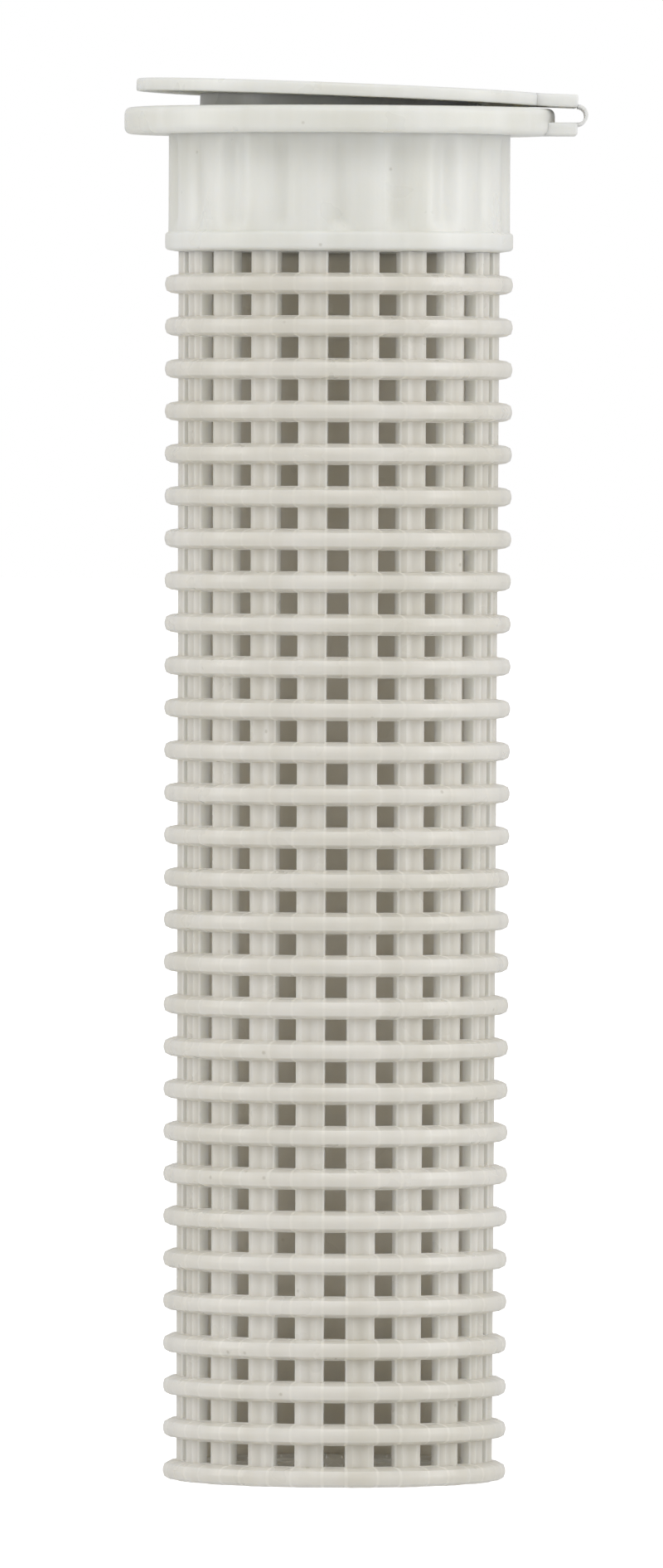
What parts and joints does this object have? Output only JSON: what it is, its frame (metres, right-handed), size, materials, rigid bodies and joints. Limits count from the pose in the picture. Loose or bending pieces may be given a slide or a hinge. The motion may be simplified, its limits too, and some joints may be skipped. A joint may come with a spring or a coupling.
{
  "type": "mesh sleeve",
  "caption": "Flanged plastic mesh sleeve for injection anchors: ringed mesh tube, fluted collar, flange and a hinged lid with centring petals.",
  "frame": {"origin": "middle of the outer face of the sleeve's closed end", "axes": "+Z along the sleeve from its closed end to the flange, +X towards the lid's hinge"},
  "size_m": [0.0293, 0.0272, 0.0885],
  "materials": {
    "mesh_plastic": "satin, slightly translucent",
    "head_plastic": "satin, slightly translucent"
  },
  "bodies": {
    "sleeve": {"mesh_tube": "mesh_plastic", "end_grid": "mesh_plastic", "collar": "head_plastic", "flange": "head_plastic", "hinge_leaf": "head_plastic", "hinge_film": "head_plastic"},
    "lid": {"lid_plate": "head_plastic", "lid_leaf": "head_plastic", "lid_spigot": "head_plastic"},
    "petal_1": {"petal_1": "head_plastic"},
    "petal_2": {"petal_2": "head_plastic"},
    "petal_3": {"petal_3": "head_plastic"},
    "petal_4": {"petal_4": "head_plastic"},
    "petal_5": {"petal_5": "head_plastic"},
    "petal_6": {"petal_6": "head_plastic"},
    "petal_7": {"petal_7": "head_plastic"},
    "petal_8": {"petal_8": "head_plastic"}
  },
  "joints": [
    {"name": "lid_hinge", "type": "hinge", "parent": "sleeve", "child": "lid", "pos_m": [0.0155, 0, 0.08628], "axis": [0, 1, 0], "range_deg": [-2, 178], "deforming": ["hinge_film"]},
    {"name": "petal_1_hinge", "type": "hinge", "parent": "lid", "child": "petal_1", "pos_m": [0.00714, 0, 0.08704], "axis": [0, -1, 0], "range_deg": [0, 60], "stiffness_Nm_per_rad": 0.0005},
    {"name": "petal_2_hinge", "type": "hinge", "parent": "lid", "child": "petal_2", "pos_m": [0.00505, 0.00503, 0.08712], "axis": [0.7067, -0.7071, -0.0247], "range_deg": [0, 60], "stiffness_Nm_per_rad": 0.0005},
    {"name": "petal_3_hinge", "type": "hinge", "parent": "lid", "child": "petal_3", "pos_m": [0.00003, 0.00712, 0.08729], "axis": [0.9994, 0, -0.0349], "range_deg": [0, 60], "stiffness_Nm_per_rad": 0.0005},
    {"name": "petal_4_hinge", "type": "hinge", "parent": "lid", "child": "petal_4", "pos_m": [-0.005, 0.00503, 0.08747], "axis": [0.7067, 0.7071, -0.0247], "range_deg": [0, 60], "stiffness_Nm_per_rad": 0.0005},
    {"name": "petal_5_hinge", "type": "hinge", "parent": "lid", "child": "petal_5", "pos_m": [-0.00709, 0, 0.08754], "axis": [0, 1, 0], "range_deg": [0, 60], "stiffness_Nm_per_rad": 0.0005},
    {"name": "petal_6_hinge", "type": "hinge", "parent": "lid", "child": "petal_6", "pos_m": [-0.005, -0.00503, 0.08747], "axis": [-0.7067, 0.7071, 0.0247], "range_deg": [0, 60], "stiffness_Nm_per_rad": 0.0005},
    {"name": "petal_7_hinge", "type": "hinge", "parent": "lid", "child": "petal_7", "pos_m": [0.00003, -0.00712, 0.08729], "axis": [-0.9994, 0, 0.0349], "range_deg": [0, 60], "stiffness_Nm_per_rad": 0.0005},
    {"name": "petal_8_hinge", "type": "hinge", "parent": "lid", "child": "petal_8", "pos_m": [0.00505, -0.00503, 0.08712], "axis": [-0.7067, -0.7071, 0.0247], "range_deg": [0, 60], "stiffness_Nm_per_rad": 0.0005}
  ],
  "couplings": [
    {"joint": "petal_2_hinge", "follows": "petal_1_hinge", "ratio": 1},
    {"joint": "petal_3_hinge", "follows": "petal_1_hinge", "ratio": 1},
    {"joint": "petal_4_hinge", "follows": "petal_1_hinge", "ratio": 1},
    {"joint": "petal_5_hinge", "follows": "petal_1_hinge", "ratio": 1},
    {"joint": "petal_6_hinge", "follows": "petal_1_hinge", "ratio": 1},
    {"joint": "petal_7_hinge", "follows": "petal_1_hinge", "ratio": 1},
    {"joint": "petal_8_hinge", "follows": "petal_1_hinge", "ratio": 1}
  ]
}
